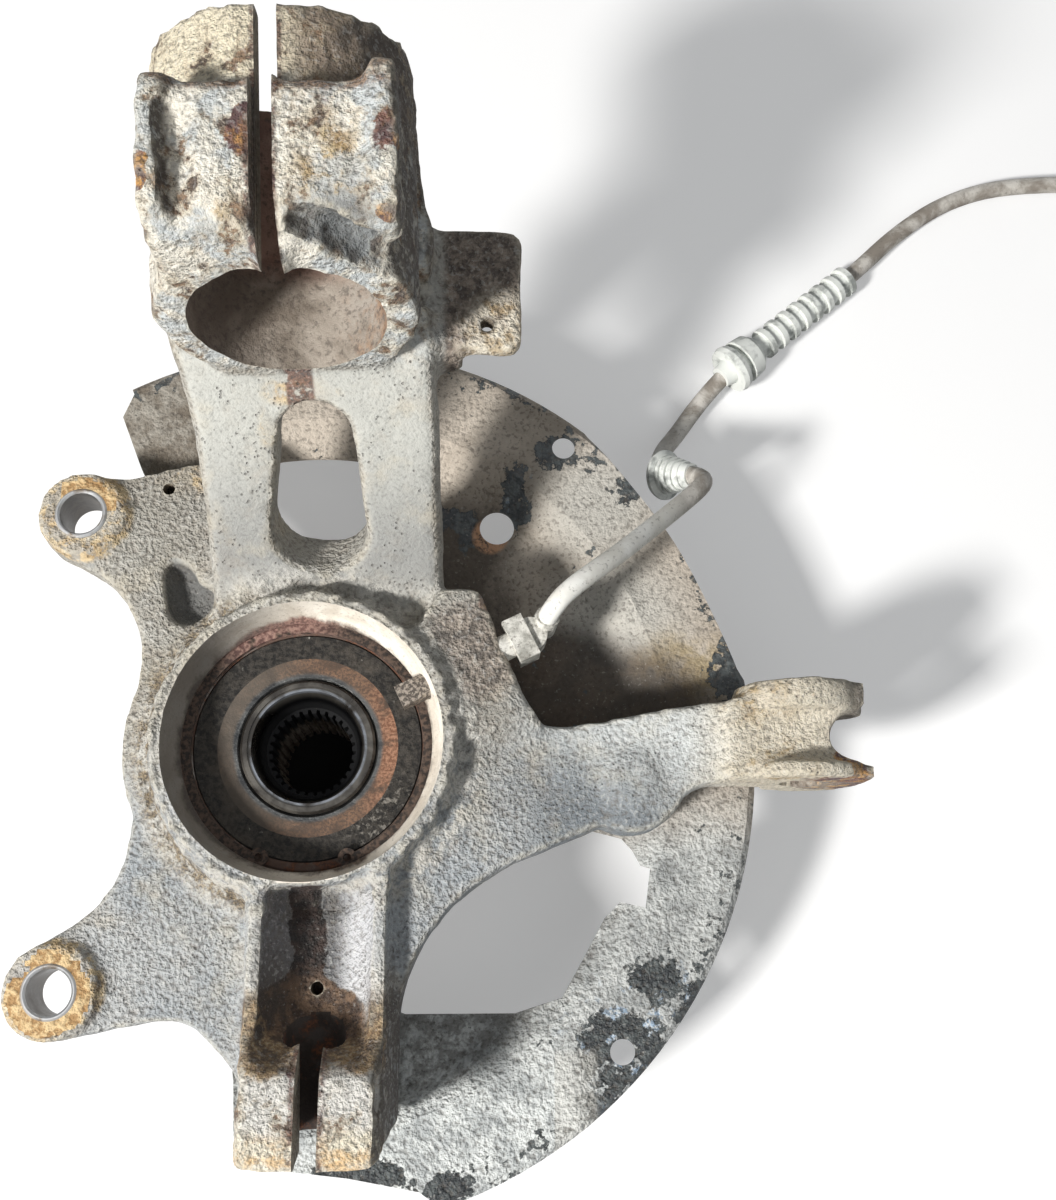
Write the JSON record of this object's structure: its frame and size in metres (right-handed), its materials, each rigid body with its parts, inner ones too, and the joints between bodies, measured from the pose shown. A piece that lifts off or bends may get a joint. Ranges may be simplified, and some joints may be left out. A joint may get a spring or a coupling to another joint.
{
  "type": "steering knuckle",
  "caption": "Cast front steering knuckle with strut clamp, steering arm, driven wheel hub in a bearing, sheet dust shield and wheel-speed sensor lead.",
  "frame": {"origin": "on the hub axis, in the plane of the hub's wheel mounting face, where the face meets the pilot ring", "axes": "+Z along the hub axis towards the car's centre line, +Y up in the car, +X towards the steering arm"},
  "size_m": [0.4785, 0.4057, 0.2298],
  "materials": {
    "casting": "rough",
    "machined_steel": "satin",
    "bearing_steel": "polished",
    "cage_plastic": "matte",
    "seal_rubber": "matte",
    "spring_steel": "satin",
    "shield_paint": "matte",
    "screw_steel": "satin",
    "sensor_plastic": "matte",
    "cable_rubber": "matte",
    "grommet_rubber": "matte",
    "connector_plastic": "matte",
    "tie_plastic": "matte"
  },
  "bodies": {
    "knuckle": {"knuckle_casting": "casting", "caliper_sleeve_upper": "machined_steel", "caliper_sleeve_lower": "machined_steel", "bearing_outer_ring": "bearing_steel", "bearing_seal_inboard": "seal_rubber", "bearing_seal_outboard": "seal_rubber", "snap_ring": "spring_steel", "brake_dust_shield": "shield_paint", "shield_screws": "screw_steel", "abs_sensor": "sensor_plastic", "abs_cable": "cable_rubber", "cable_coil": "cable_rubber", "cable_grommet_lower": "grommet_rubber", "cable_grommet_upper": "grommet_rubber", "cable_connector": "connector_plastic", "cable_tie": "tie_plastic"},
    "hub": {"wheel_hub": "machined_steel", "bearing_inner_ring_inboard": "bearing_steel", "bearing_inner_ring_outboard": "bearing_steel", "encoder_seal": "seal_rubber"},
    "ball_row_inboard": {"bearing_balls_inboard": "bearing_steel", "bearing_cage_inboard": "cage_plastic"},
    "ball_row_outboard": {"bearing_balls_outboard": "bearing_steel", "bearing_cage_outboard": "cage_plastic"}
  },
  "joints": [
    {"name": "hub_spin", "type": "hinge", "parent": "knuckle", "child": "hub", "pos_m": [0, 0, 0.0375], "axis": [0, 0, 1], "continuous": true},
    {"name": "ball_row_inboard_spin", "type": "hinge", "parent": "knuckle", "child": "ball_row_inboard", "pos_m": [0, 0, 0.0481], "axis": [0, 0, 1], "continuous": true},
    {"name": "ball_row_outboard_spin", "type": "hinge", "parent": "knuckle", "child": "ball_row_outboard", "pos_m": [0, 0, 0.0269], "axis": [0, 0, 1], "continuous": true}
  ],
  "couplings": [
    {"joint": "ball_row_inboard_spin", "follows": "hub_spin", "ratio": 0.415},
    {"joint": "ball_row_outboard_spin", "follows": "hub_spin", "ratio": 0.415}
  ]
}
